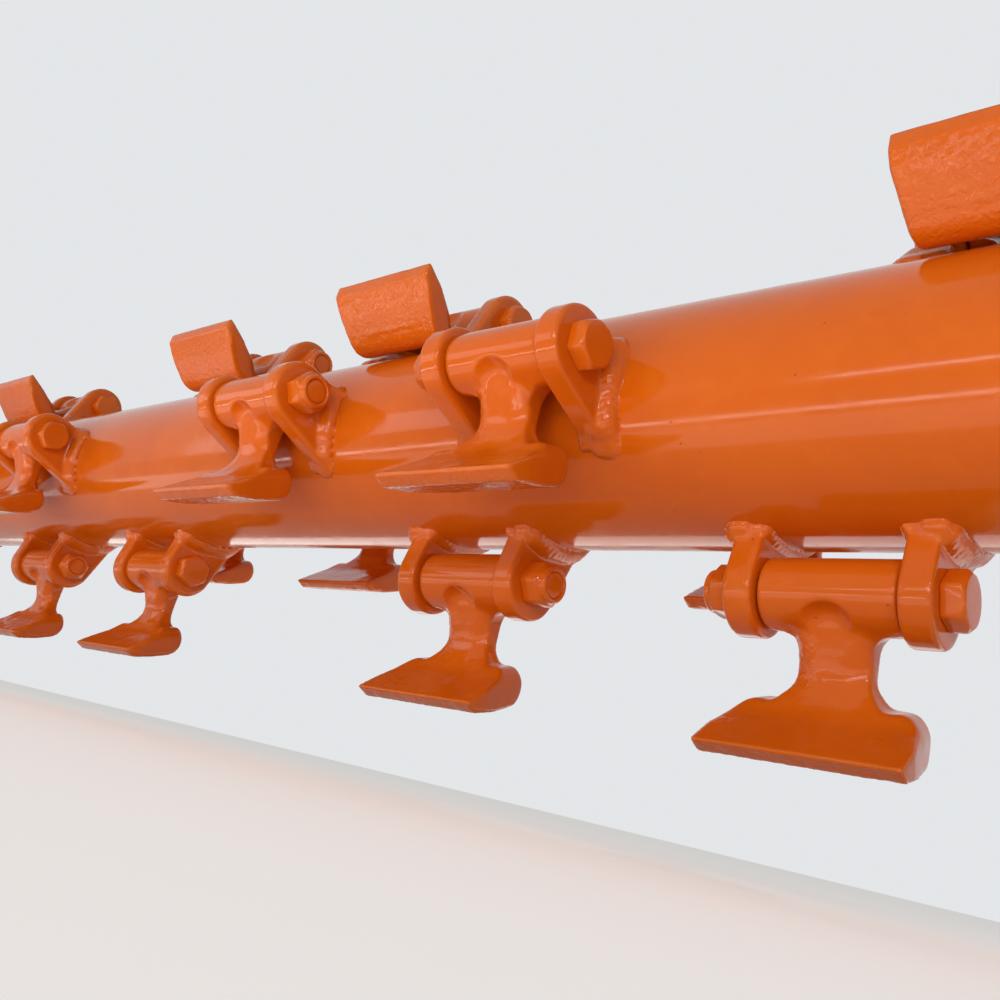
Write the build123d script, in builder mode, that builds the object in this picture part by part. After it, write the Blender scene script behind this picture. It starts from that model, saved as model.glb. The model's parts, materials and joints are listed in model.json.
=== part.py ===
from build123d import *
from math import acos, asin, atan2, cos, degrees, hypot, radians, sin
import os

# Hammer rotor of a tractor mulcher: a welded tube with swinging T-shaped hammers on four rows.
# X runs along the rotor axis from the left bearing flange, -Y is the front, +Z is up.

# Drum
tube_d = 168.3
tube_wall = 10.0
hammer_count = 16
hammer_pitch = 94.0
drum_end_margin = 72.0  # tube end to the centre of the first hammer
plate_gap = 25.0  # bearing flange face to tube end, where the machine's side plate goes
row_step = 90.0
first_row_angle = 1.4  # row A above the horizontal at the front, as the rotor stands
row_order = "cadbacbd"  # from the left end: two helices half a turn apart

# Clevis lugs
pivot_r = 116.0
lug_head_r = 27.0
lug_t = 18.0
clevis_gap = 82.0
lug_lead_angle = 13.7
lug_trail_angle = 32.5
weld_gap = 0.2
lug_hole_d = 20.6

# Bolts and nuts of the hammers
bolt_d = 20.0
bolt_af = 30.0
bolt_head_h = 12.5
nut_h = 20.0
nut_hex_h = 14.0
nut_collar_d = 27.0  # round collar of the lock nut
nut_collar_edge_r = 2.5
thread_recess = 1.0  # the bolt's end lies this far inside the collar
nut_bore_clearance = 0.1

# Hammer
bore_d = 20.6
boss_d = 43.0
boss_len = 79.0
foot_w = 114.0
heel_w = 100.0
taper_start = 48.0  # where the foot starts to narrow towards its heel, ahead of the pivot
edge_forward = 67.0
edge_drop = 77.0
edge_strip_back = 8.5
edge_strip_h = 8.5
sole_sag = 1.5
stem_w = 42.0
stem_front = 12.0
scoop_start = 36.0
scoop_r = 32.0
stem_back = 15.0
stem_back_drop = 16.0
heel_forward = 1.0
heel_top_drop = 58.0
heel_r = 16.0
boss_fillet_r = 14.0
arm_fillet_r = 14.0
arm_drop = 58.0
arm_end_r = 12.0
recess_w = 27.0  # floor of the scoop between stem and boss, which widens outward
recess_top_drop = 7.5
recess_draft = 30.0
stop_gap = 0.5  # left between the edge of a hammer swung forward and the tube
bead_height = 4.0  # weld bead a hammer lies on when it is swung back
tail_height = 9.0  # what the next row's lug tail adds to the tube at the forward stop

# Stub shafts and end discs
disc_clearance = 0.1
end_disc_t = 25.0
stub_flange_d = 144.0
stub_flange_t = 15.0
shaft_bolt_count = 6
shaft_bolt_pcd = 112.0
shaft_bolt_d = 16.0
shaft_bolt_af = 24.0
shaft_bolt_head_h = 10.0
shaft_bolt_len = 32.0
shaft_hole_clearance = 0.4
shoulder_d = 62.0
journal_d = 50.0
journal_spare = 4.0
seal_d = 47.0
drive_d = 45.0
drive_len = 75.0
keyway_w = 14.0
keyway_len = 60.0
keyway_depth = 5.5
keyway_end_gap = 6.0

# Bearing housings
flange_d = 190.0
flange_t = 16.0
flange_bolt_count = 6
flange_bolt_edge = 15.0  # from the flange's rim to the circle of its bolts
flange_hole_d = 14.0
hub_d = 118.0
hub_len = 56.0
spigot_len = 8.0
bearing_od = 90.0
bearing_w = 23.0
bearing_inset = 8.0
running_clearance = 0.05
seat_clearance = 0.1
seal_clearance = 1.0
cover_t = 8.0
cover_ring_t = 8.0
nipple_d = 8.0
nipple_h = 14.0

# Worked out from the sizes above
tube_r = tube_d / 2
drum_len = (hammer_count - 1) * hammer_pitch + 2 * drum_end_margin
drum_end = plate_gap + drum_len
right_flange_x = drum_end + plate_gap
lug_outer = clevis_gap / 2 + lug_t
flange_bolt_pcd = flange_d - 2 * flange_bolt_edge

# Side views have the front (-Y) as their first axis, front views have +X; both have up second
side_plane = Plane(origin=(0, 0, 0), x_dir=(0, -1, 0), z_dir=(-1, 0, 0))
front_plane = Plane(origin=(0, 0, 0), x_dir=(1, 0, 0), z_dir=(0, -1, 0))

os.makedirs("parts", exist_ok=True)


def save(name, builder):
    builder.part.label = name
    export_step(builder.part, f"parts/{name}.step")


def polar(radius, angle):
    return radius * cos(radians(angle)), radius * sin(radians(angle))


def tangent_point(centre, radius, point, side):
    """Where a line from a point touches a circle, on its left (1) or right (-1) side."""
    dx, dy = centre[0] - point[0], centre[1] - point[1]
    distance = hypot(dx, dy)
    heading = degrees(atan2(dy, dx)) + side * degrees(asin(radius / distance))
    along = polar((distance**2 - radius**2) ** 0.5, heading)
    return point[0] + along[0], point[1] + along[1]


# Drum tube
with BuildPart() as rotor_tube:
    with BuildSketch(Plane.YZ.offset(plate_gap)):
        Circle(tube_r)
        Circle(tube_r - tube_wall, mode=Mode.SUBTRACT)
    extrude(amount=drum_len)
save("rotor_tube", rotor_tube)

# Clevis lug: a round head over the pivot, with a long tangent edge to the trailing weld
lug_base_r = tube_r + weld_gap
lug_head = (pivot_r, 0.0)
lead_foot = polar(lug_base_r, lug_lead_angle)
trail_foot = polar(lug_base_r, -lug_trail_angle)
lead_touch = tangent_point(lug_head, lug_head_r, lead_foot, 1)
trail_touch = tangent_point(lug_head, lug_head_r, trail_foot, -1)
with BuildPart() as lug:
    with BuildSketch(side_plane):
        with BuildLine():
            Polyline(
                polar(lug_base_r / 2, -lug_trail_angle / 2),
                lead_foot,
                lead_touch,
                lug_head,
                trail_touch,
                trail_foot,
                close=True,
            )
        make_face()
        with Locations(lug_head):
            Circle(lug_head_r)
        Circle(lug_base_r, mode=Mode.SUBTRACT)
        with Locations(lug_head):
            Circle(lug_hole_d / 2, mode=Mode.SUBTRACT)
    extrude(amount=lug_t / 2, both=True)

# Hammer bolt through a whole clevis, head to the right, and its nut
with BuildPart() as bolt:
    with BuildSketch(Plane.YZ.offset(lug_outer)):
        RegularPolygon(bolt_af / 2, 6, major_radius=False)
    extrude(amount=bolt_head_h)
    with BuildSketch(Plane.YZ.offset(lug_outer)):
        Circle(bolt_d / 2)
    extrude(amount=-(2 * lug_outer + nut_h - thread_recess))
with BuildPart() as nut:
    with BuildSketch(Plane.YZ.offset(-lug_outer)):
        RegularPolygon(bolt_af / 2, 6, major_radius=False)
    extrude(amount=-nut_hex_h)
    with BuildSketch(Plane.YZ.offset(-lug_outer - nut_hex_h)):
        Circle(nut_collar_d / 2)
    extrude(amount=nut_hex_h - nut_h)
    fillet(nut.edges().sort_by(Axis.X)[0], nut_collar_edge_r)
    with BuildSketch(Plane.YZ.offset(-lug_outer)):
        Circle(bolt_d / 2 + nut_bore_clearance)
    extrude(amount=-nut_h, mode=Mode.SUBTRACT)

# Hammer with its pivot at the origin, stem upright and edge to the front
boss_under = -boss_d / 2
scoop_centre = (stem_front + scoop_r, -scoop_start)
edge_top = (edge_forward, -edge_drop)
edge_low = (edge_forward - edge_strip_back, -edge_drop - edge_strip_h)
scoop_end = tangent_point(scoop_centre, scoop_r, edge_top, 1)
scoop_sweep = degrees(atan2(scoop_end[1] - scoop_centre[1], scoop_end[0] - scoop_centre[0])) + 180
sole_low = edge_low[1] - sole_sag
heel_centre = (heel_forward + heel_r, sole_low + heel_r)
sole_mid = ((edge_low[0] + heel_centre[0]) / 2, sole_low - sole_sag / 4)
boss_fillet = (stem_w / 2 + boss_fillet_r, boss_under - boss_fillet_r)
arm_fillet = (stem_w / 2 + arm_fillet_r, -arm_drop + arm_fillet_r)
with BuildPart() as hammer:
    with BuildSketch(side_plane) as hammer_side:
        with BuildLine():
            Polyline((0, 0), (stem_front, 0), (stem_front, -scoop_start))
            CenterArc(scoop_centre, scoop_r, 180, scoop_sweep)
            Polyline(scoop_end, edge_top, edge_low)
            ThreePointArc(edge_low, sole_mid, (heel_centre[0], sole_low))
            CenterArc(heel_centre, heel_r, 180, 90)
            Polyline(
                (heel_forward, heel_centre[1]),
                (heel_forward, -heel_top_drop),
                (-stem_back, -stem_back_drop),
                (0, 0),
            )
        make_face()
    extrude(amount=foot_w / 2, both=True)
    with BuildSketch(front_plane):
        with BuildLine():
            Polyline((0, 0), (boss_fillet[0], 0), (boss_fillet[0], boss_under))
            CenterArc(boss_fillet, boss_fillet_r, 90, 90)
            Line((stem_w / 2, boss_fillet[1]), (stem_w / 2, arm_fillet[1]))
            CenterArc(arm_fillet, arm_fillet_r, 180, 90)
            Polyline((arm_fillet[0], -arm_drop), (foot_w / 2, -arm_drop), (foot_w / 2, 2 * sole_low), (0, 2 * sole_low))
            mirror(about=Plane.YZ)
        make_face()
    extrude(amount=2 * edge_forward, both=True, mode=Mode.INTERSECT)
    with BuildSketch(Plane.XY):
        with BuildLine():
            Polyline(
                (0, -2 * edge_forward),
                (foot_w / 2, -2 * edge_forward),
                (foot_w / 2, -taper_start),
                (heel_w / 2, -heel_forward),
                (heel_w / 2, 2 * stem_back),
                (0, 2 * stem_back),
            )
            mirror(about=Plane.YZ)
        make_face()
    extrude(amount=2 * sole_low, both=True, mode=Mode.INTERSECT)
    for side in (-1, 1):
        arm_end = Plane(
            origin=(side * heel_w / 2, -heel_forward, -arm_drop),
            x_dir=(side * (heel_forward - taper_start), (heel_w - foot_w) / 2, 0),
            z_dir=((foot_w - heel_w) / 2, side * (heel_forward - taper_start), 0),
        )
        with BuildSketch(arm_end):
            with BuildLine():
                Polyline((0, arm_end_r), (-1, arm_end_r), (-1, -1), (arm_end_r, -1), (arm_end_r, 0))
                CenterArc((arm_end_r, arm_end_r), arm_end_r, 180, 90)
            make_face()
        extrude(amount=2 * edge_forward, both=True, mode=Mode.SUBTRACT)
    Cylinder(boss_d / 2, boss_len, rotation=(0, 90, 0))
    with BuildSketch(front_plane.offset(stem_front)):
        with Locations((0, -recess_top_drop - recess_w / 2)):
            Circle(recess_w / 2)
        with Locations((0, -(recess_top_drop + recess_w / 2 + scoop_start) / 2)):
            Rectangle(recess_w, scoop_start - recess_top_drop - recess_w / 2)
    extrude(amount=boss_d / 2 - stem_front + 1, taper=-recess_draft, mode=Mode.SUBTRACT)
    Cylinder(bore_d / 2, 2 * boss_len, rotation=(0, 90, 0), mode=Mode.SUBTRACT)

# A free hammer hangs with its centre of mass under the pivot, so its stem leans back
mass_centre = hammer.part.center(CenterOf.MASS)
hang_lean = degrees(atan2(-mass_centre.Y, -mass_centre.Z))


def stop_angle(side, stop_r):
    """The swing from straight outward at which the hammer's outline meets a radius: 1 edge first, -1 back first."""
    limits = []
    for edge in hammer_side.sketch.edges():
        for step in range(9):
            point = edge @ (step / 8)
            reach = hypot(point.Y, point.Z)
            if pivot_r - reach < stop_r < pivot_r + reach:
                opening = degrees(acos((stop_r**2 - pivot_r**2 - reach**2) / (2 * pivot_r * reach)))
                lead = degrees(atan2(-point.Y, -point.Z))
                limits.append(opening - side * lead)
    return side * min(limits)


row_angle = {
    row: first_row_angle + row_step * turn
    for row, turn in (("a", 0), ("b", -1), ("c", -2), ("d", 1))
}
back_stop = stop_angle(-1, tube_r + bead_height)
places = []
for index in range(hammer_count):
    row = row_order[index % len(row_order)]
    angle = row_angle[row]
    x = plate_gap + drum_end_margin + index * hammer_pitch
    sideways = [row_order[(index + step) % len(row_order)] for step in (-1, 1)]
    next_row_ahead = any((row_angle[other] - angle) % 360 == row_step for other in sideways)
    front_stop = stop_angle(1, tube_r + (tail_height if next_row_ahead else stop_gap))
    hanging = -90 - hang_lean - angle
    rest = hanging if back_stop < hanging < front_stop else back_stop
    places.append((f"hammer_{index + 1:02d}", row, angle, x, rest, front_stop, index % 2 == 0))

# Lugs of each row, welded side by side in pairs
for row in "abcd":
    with BuildPart() as lugs:
        for name, own_row, angle, x, rest, front_stop, head_right in places:
            if own_row == row:
                for side in (-1, 1):
                    with Locations(Location((x + side * (clevis_gap + lug_t) / 2, 0, 0), (-angle, 0, 0))):
                        add(lug.part)
    save(f"lugs_row_{row}", lugs)

# Bolts and nuts, with the heads on alternate sides
with BuildPart() as hammer_bolts:
    for name, row, angle, x, rest, front_stop, head_right in places:
        forward, up = polar(pivot_r, angle)
        with Locations(Location((x, -forward, up), (0, 0, 0 if head_right else 180))):
            add(bolt.part)
save("hammer_bolts", hammer_bolts)
with BuildPart() as hammer_nuts:
    for name, row, angle, x, rest, front_stop, head_right in places:
        forward, up = polar(pivot_r, angle)
        with Locations(Location((x, -forward, up), (0, 0, 0 if head_right else 180))):
            add(nut.part)
save("hammer_nuts", hammer_nuts)

# Hammers where they hang or lie, each with its swing either way from there
for name, row, angle, x, rest, front_stop, head_right in places:
    forward, up = polar(pivot_r, angle)
    with BuildPart() as placed:
        with Locations(Location((x, -forward, up), (-(angle + rest + 90), 0, 0))):
            add(hammer.part)
    save(name, placed)
    print("swing", name, row, round(x, 4), round(-forward, 4), round(up, 4), round(back_stop - rest, 2), round(front_stop - rest, 2))


def outboard(face_x, side, profile):
    """Points of (distance outward from a flange face, radius), seen in the XZ plane."""
    return [(face_x + side * outward, radius) for outward, radius in profile]


bearing_out = bearing_inset + bearing_w
shaft_end = hub_len + cover_t + journal_spare
for end, face_x, side in (("left", 0.0, -1), ("right", right_flange_x, 1)):
    driven = side == 1
    flange_in = -plate_gap - stub_flange_t

    # End disc inside the tube, drilled for the stub shaft's bolts
    with BuildPart() as end_disc:
        with BuildSketch(Plane.YZ.offset(face_x + side * flange_in)):
            Circle(tube_r - tube_wall - disc_clearance)
            with PolarLocations(shaft_bolt_pcd / 2, shaft_bolt_count):
                Circle((shaft_bolt_d + shaft_hole_clearance) / 2, mode=Mode.SUBTRACT)
        extrude(amount=-side * end_disc_t)
    save(f"end_disc_{end}", end_disc)

    # Stub shaft: flange, shoulder and journal, with the keyed drive end on the right
    stub_profile = [
        (flange_in, 0),
        (flange_in, stub_flange_d / 2),
        (-plate_gap, stub_flange_d / 2),
        (-plate_gap, shoulder_d / 2),
        (bearing_inset, shoulder_d / 2),
        (bearing_inset, journal_d / 2),
        (bearing_out + journal_spare, journal_d / 2),
    ]
    if driven:
        stub_profile += [
            (bearing_out + journal_spare, seal_d / 2),
            (shaft_end, seal_d / 2),
            (shaft_end, drive_d / 2),
            (shaft_end + drive_len, drive_d / 2),
            (shaft_end + drive_len, 0),
        ]
    else:
        stub_profile += [(bearing_out + journal_spare, 0)]
    keyway_mid = face_x + side * (shaft_end + drive_len - keyway_end_gap - keyway_len / 2)
    with BuildPart() as stub_shaft:
        with BuildSketch(Plane.XZ):
            with BuildLine():
                Polyline(outboard(face_x, side, stub_profile), close=True)
            make_face()
        revolve(axis=Axis.X)
        with BuildSketch(Plane.YZ.offset(face_x - side * plate_gap)):
            with PolarLocations(shaft_bolt_pcd / 2, shaft_bolt_count):
                Circle((shaft_bolt_d + shaft_hole_clearance) / 2)
        extrude(amount=-side * stub_flange_t, mode=Mode.SUBTRACT)
        if driven:
            with BuildSketch(Plane.XY.offset(drive_d / 2 - keyway_depth)):
                with Locations((keyway_mid, 0)):
                    SlotOverall(keyway_len, keyway_w)
            extrude(amount=2 * keyway_depth, mode=Mode.SUBTRACT)
    save(f"stub_shaft_{end}", stub_shaft)

    # Bolts that hold the stub shaft on the end disc
    with BuildPart() as shaft_bolts:
        with BuildSketch(Plane.YZ.offset(face_x - side * plate_gap)):
            with PolarLocations(shaft_bolt_pcd / 2, shaft_bolt_count):
                RegularPolygon(shaft_bolt_af / 2, 6, major_radius=False)
        extrude(amount=side * shaft_bolt_head_h)
        with BuildSketch(Plane.YZ.offset(face_x - side * plate_gap)):
            with PolarLocations(shaft_bolt_pcd / 2, shaft_bolt_count):
                Circle(shaft_bolt_d / 2)
        extrude(amount=-side * shaft_bolt_len)
    save(f"shaft_bolts_{end}", shaft_bolts)

    # Bearing housing: bolting flange, hub outside the side plate and spigot through it
    housing_profile = [
        (-spigot_len, hub_d / 2),
        (0, hub_d / 2),
        (0, flange_d / 2),
        (flange_t, flange_d / 2),
        (flange_t, hub_d / 2),
        (hub_len, hub_d / 2),
        (hub_len, bearing_od / 2 + seat_clearance),
        (bearing_inset, bearing_od / 2 + seat_clearance),
        (bearing_inset, shoulder_d / 2 + seal_clearance),
        (-spigot_len, shoulder_d / 2 + seal_clearance),
    ]
    with BuildPart() as housing:
        with BuildSketch(Plane.XZ):
            with BuildLine():
                Polyline(outboard(face_x, side, housing_profile), close=True)
            make_face()
        revolve(axis=Axis.X)
        with BuildSketch(Plane.YZ.offset(face_x)):
            with PolarLocations(flange_bolt_pcd / 2, flange_bolt_count):
                Circle(flange_hole_d / 2)
        extrude(amount=side * flange_t, mode=Mode.SUBTRACT)
    save(f"bearing_housing_{end}", housing)

    bearing_profile = [
        (bearing_inset, journal_d / 2 + running_clearance),
        (bearing_inset, bearing_od / 2),
        (bearing_out, bearing_od / 2),
        (bearing_out, journal_d / 2 + running_clearance),
    ]
    with BuildPart() as bearing:
        with BuildSketch(Plane.XZ):
            with BuildLine():
                Polyline(outboard(face_x, side, bearing_profile), close=True)
            make_face()
        revolve(axis=Axis.X)
    save(f"bearing_{end}", bearing)

    # Cover, closed on the left and open for the drive shaft on the right
    cover_bore = seal_d / 2 + seal_clearance if driven else 0
    cover_profile = [
        (hub_len + cover_t, cover_bore),
        (hub_len + cover_t, hub_d / 2),
        (hub_len, hub_d / 2),
        (hub_len, bearing_od / 2),
        (bearing_out, bearing_od / 2),
        (bearing_out, bearing_od / 2 - cover_ring_t),
        (hub_len, bearing_od / 2 - cover_ring_t),
        (hub_len, cover_bore),
    ]
    with BuildPart() as cover:
        with BuildSketch(Plane.XZ):
            with BuildLine():
                Polyline(outboard(face_x, side, cover_profile), close=True)
            make_face()
        revolve(axis=Axis.X)
    save(f"bearing_cover_{end}", cover)

    with BuildPart() as grease_nipple:
        with BuildSketch(Plane.XY.offset(hub_d / 2)):
            with Locations((face_x + side * (flange_t + hub_len) / 2, 0)):
                Circle(nipple_d / 2)
        extrude(amount=nipple_h)
    save(f"grease_nipple_{end}", grease_nipple)

print("lean", round(hang_lean, 2), "back stop", round(back_stop, 2), "hammer volume", round(hammer.part.volume))
print("right flange", right_flange_x, "shaft end", right_flange_x + shaft_end + drive_len)
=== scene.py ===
# Hammer rotor of a mulcher: forged hammers, welded lugs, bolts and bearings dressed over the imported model.
import json
import math

import bpy
import numpy as np
from mathutils import Matrix, Vector


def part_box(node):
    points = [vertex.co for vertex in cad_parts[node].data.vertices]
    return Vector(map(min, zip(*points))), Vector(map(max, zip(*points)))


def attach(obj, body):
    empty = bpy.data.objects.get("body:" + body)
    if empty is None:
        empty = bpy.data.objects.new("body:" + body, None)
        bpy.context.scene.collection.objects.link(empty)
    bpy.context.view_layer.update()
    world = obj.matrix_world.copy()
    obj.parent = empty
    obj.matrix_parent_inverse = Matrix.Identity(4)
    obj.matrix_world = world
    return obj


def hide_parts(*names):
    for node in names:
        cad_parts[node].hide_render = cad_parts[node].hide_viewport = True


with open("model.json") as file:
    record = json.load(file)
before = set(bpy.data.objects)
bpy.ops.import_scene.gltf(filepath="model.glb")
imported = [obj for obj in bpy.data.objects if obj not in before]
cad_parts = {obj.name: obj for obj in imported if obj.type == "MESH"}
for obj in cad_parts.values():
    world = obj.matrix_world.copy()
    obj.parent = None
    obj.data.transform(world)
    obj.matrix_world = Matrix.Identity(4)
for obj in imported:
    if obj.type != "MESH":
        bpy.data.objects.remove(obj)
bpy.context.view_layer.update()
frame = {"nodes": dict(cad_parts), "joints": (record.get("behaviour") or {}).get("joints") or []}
scene = bpy.context.scene
print("frame loaded:", len(frame["nodes"]), "nodes")


# Distance fields are worked out in millimetres and meshed where they cross zero


def smoothJoin(a, b, blend):
    # union of two fields, rounded over about the blend length
    h = np.clip(0.5 + 0.5 * (b - a) / blend, 0, 1)
    return b + (a - b) * h - blend * h * (1 - h)


def smoothCut(a, b, blend):
    return -smoothJoin(-a, -b, blend)


latticeCells = 32  # the noise repeats after this many of its own sizes


def latticeNoise(x, y, z, size, seed):
    # smooth random lumps between -1 and 1
    table = np.random.default_rng(seed).uniform(-1, 1, (latticeCells,) * 3).astype(np.float32)
    cells, parts = [], []
    for axis in (x, y, z):
        scaled = np.asarray(axis, np.float32) / size + 7.3
        whole = np.floor(scaled)
        part = scaled - whole
        cells.append(whole.astype(np.int32))
        parts.append(part * part * (3 - 2 * part))
    total = 0
    for dx in (0, 1):
        for dy in (0, 1):
            for dz in (0, 1):
                weight = (
                    (parts[0] if dx else 1 - parts[0])
                    * (parts[1] if dy else 1 - parts[1])
                    * (parts[2] if dz else 1 - parts[2])
                )
                spot = [(cell + further) % latticeCells for cell, further in zip(cells, (dx, dy, dz))]
                total = total + weight * table[spot[0], spot[1], spot[2]]
    return total


def fieldGrid(low, high, step):
    axes = [np.arange(low[k], high[k] + step, step, dtype=np.float32) for k in range(3)]
    return np.meshgrid(*axes, indexing="ij")


def sampleField(field, low, step, points):
    at = (points - np.array(low)) / step
    cell = np.clip(np.floor(at).astype(np.int32), 0, np.array(field.shape) - 2)
    part = np.clip(at - cell, 0, 1)
    total = 0
    for dx in (0, 1):
        for dy in (0, 1):
            for dz in (0, 1):
                weight = (
                    (part[:, 0] if dx else 1 - part[:, 0])
                    * (part[:, 1] if dy else 1 - part[:, 1])
                    * (part[:, 2] if dz else 1 - part[:, 2])
                )
                total = total + weight * field[cell[:, 0] + dx, cell[:, 1] + dy, cell[:, 2] + dz]
    return total


def fieldSlope(field, low, step, points):
    reach = step * 0.75
    slope = np.zeros_like(points)
    for k in range(3):
        shift = np.zeros(3)
        shift[k] = reach
        ahead = sampleField(field, low, step, points + shift)
        slope[:, k] = ahead - sampleField(field, low, step, points - shift)
    return slope / (2 * reach)


relaxShare = 0.6  # of the way to its neighbours that a point moves when a mesh is evened out


def neighbours(points, quads):
    # both ends of every edge, and for each point the sum and the number of the points next to it
    ends = np.concatenate([quads[:, [0, 1]], quads[:, [1, 2]], quads[:, [2, 3]], quads[:, [3, 0]]])
    near = np.zeros_like(points)
    tally = np.bincount(ends[:, 0], minlength=len(points)) + np.bincount(ends[:, 1], minlength=len(points))
    for k in (0, 1):
        for axis in range(3):
            near[:, axis] += np.bincount(ends[:, k], points[ends[:, 1 - k], axis], len(points))
    return ends, near, tally


def meshField(field, low, step):
    # one vertex in each cell that the surface crosses, one quad round each grid edge that it crosses
    inside = field < 0
    offsets = [(i, j, k) for i in (0, 1) for j in (0, 1) for k in (0, 1)]
    shape = [n - 1 for n in field.shape]

    def corner(array, offset):
        i, j, k = offset
        return array[i : i + shape[0], j : j + shape[1], k : k + shape[2]]

    count = sum(corner(inside, offset).astype(np.int8) for offset in offsets)
    active = (count > 0) & (count < 8)
    index = np.full(active.shape, -1, np.int64)
    index[active] = np.arange(active.sum())
    values = {offset: corner(field, offset)[active] for offset in offsets}
    total = np.zeros((active.sum(), 3))
    crossings = np.zeros(active.sum())
    for a in offsets:
        for axis in range(3):
            if a[axis]:
                continue
            b = tuple(1 if k == axis else a[k] for k in range(3))
            crossed = (values[a] < 0) != (values[b] < 0)
            share = values[a] / np.where(crossed, values[a] - values[b], 1)
            spot = np.array(a, float) + np.outer(share, np.eye(3)[axis])
            total += np.where(crossed[:, None], spot, 0)
            crossings += crossed
    cells = np.argwhere(active)
    points = np.array(low) + step * (cells + total / crossings[:, None])
    quads = []
    for axis in range(3):
        u, v = (axis + 1) % 3, (axis + 2) % 3
        first = np.take(inside, range(field.shape[axis] - 1), axis)
        second = np.take(inside, range(1, field.shape[axis]), axis)
        edges = np.argwhere(first != second)
        kept = (edges[:, u] > 0) & (edges[:, v] > 0)
        kept &= (edges[:, u] < field.shape[u] - 1) & (edges[:, v] < field.shape[v] - 1)
        edges = edges[kept]
        leaving = first[tuple(edges.T)]
        ring = []
        for du, dv in ((1, 1), (0, 1), (0, 0), (1, 0)):
            spot = edges.copy()
            spot[:, u] -= du
            spot[:, v] -= dv
            ring.append(index[tuple(spot.T)])
        ring = np.stack(ring, 1)
        quads.append(np.where(leaving[:, None], ring, ring[:, ::-1]))
    quads = np.concatenate(quads)
    for turn in range(2):  # relax, then pull back to the surface
        _, near, tally = neighbours(points, quads)
        points = points * (1 - relaxShare) + near / tally[:, None] * relaxShare
        for pull in range(2):
            slope = fieldSlope(field, low, step, points)
            steep = np.maximum((slope**2).sum(1), 0.2)
            points -= slope * (sampleField(field, low, step, points) / steep)[:, None]
    return points, quads


def surfaceNormals(points, quads):
    across = np.cross(points[quads[:, 2]] - points[quads[:, 0]], points[quads[:, 3]] - points[quads[:, 1]])
    normals = np.zeros_like(points)
    for k in range(4):
        for axis in range(3):
            normals[:, axis] += np.bincount(quads[:, k], across[:, axis], len(points))
    return normals / np.maximum(np.linalg.norm(normals, axis=1), 1e-9)[:, None]


def makeMesh(name, points, faces, material, body, stands, values=None):
    # points in millimetres of the part's own frame; faces all of one length, or a list
    mesh = bpy.data.meshes.new(name)
    if isinstance(faces, list):
        flat = np.concatenate([np.asarray(face, int) for face in faces])
        sizes = np.array([len(face) for face in faces])
    else:
        flat = faces.ravel()
        sizes = np.full(len(faces), faces.shape[1])
    mesh.vertices.add(len(points))
    mesh.vertices.foreach_set("co", (np.asarray(points, np.float32) / 1000).ravel())
    mesh.loops.add(len(flat))
    mesh.loops.foreach_set("vertex_index", flat.astype(np.int32))
    mesh.polygons.add(len(sizes))
    mesh.polygons.foreach_set("loop_start", np.concatenate([[0], np.cumsum(sizes)[:-1]]).astype(np.int32))
    mesh.polygons.foreach_set("use_smooth", np.ones(len(sizes), bool))
    for key, numbers in (values or {}).items():
        mesh.attributes.new(key, "FLOAT", "POINT").data.foreach_set("value", np.asarray(numbers, np.float32))
    mesh.update(calc_edges=True)
    mesh.validate()
    piece = bpy.data.objects.new(name, mesh)
    scene.collection.objects.link(piece)
    mesh.materials.append(material)
    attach(piece, body)
    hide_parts(*stands)


# Places and sizes shared by the rotor's pieces, in millimetres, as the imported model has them
rotor = {
    "tubeRadius": 84.15,
    "pivotRadius": 116.0,
    "firstAngle": 1.4,
    "rows": {"a": 0, "b": -90, "c": -180, "d": 90},
    "lugInner": 41.0,
    "lugThickness": 18.0,
    "lean": 19.0,  # degrees by which a hanging hammer's middle line leans from the vertical
    "backStop": -131.44,  # degrees from straight out to where a hammer lies back on the drum
}
rotor["lugOuter"] = rotor["lugInner"] + rotor["lugThickness"]


def hammerPlaces():
    # name, row, pivot in millimetres and the turn of each hammer about its pivot, read from the joints
    places = []
    for joint in frame["joints"]:
        if not joint["name"].startswith("hammer_"):
            continue
        pivot = np.array(joint["pos_m"]) * 1000
        angle = math.degrees(math.atan2(pivot[2], -pivot[1]))
        apart = {row: start + rotor["firstAngle"] - angle for row, start in rotor["rows"].items()}
        row = min(apart, key=lambda name: abs((apart[name] + 180) % 360 - 180))
        lying = joint["range_deg"][0] == 0
        turn = angle + (rotor["backStop"] if lying else -90 - rotor["lean"] - angle) + 90
        places.append({"name": joint["child"], "row": row, "pivot": pivot, "angle": angle, "turn": turn})
    places.sort(key=lambda place: place["name"])
    for number, place in enumerate(places):
        place["headRight"] = number % 2 == 0
    return places


def turnedAbout(points, turn, pivot=(0, 0, 0)):
    # points with x to the right, y forward and z up, turned forward-to-up and set at a place with -Y in front
    a = math.radians(turn)
    forward = points[:, 1] * math.cos(a) - points[:, 2] * math.sin(a)
    up = points[:, 1] * math.sin(a) + points[:, 2] * math.cos(a)
    return np.stack([points[:, 0] + pivot[0], pivot[1] - forward, up + pivot[2]], 1)


def arcPoints(centre, radius, start, sweep, steps):
    turns = [math.radians(start + sweep * k / steps) for k in range(steps + 1)]
    return [(centre[0] + radius * math.cos(t), centre[1] + radius * math.sin(t)) for t in turns]


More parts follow.
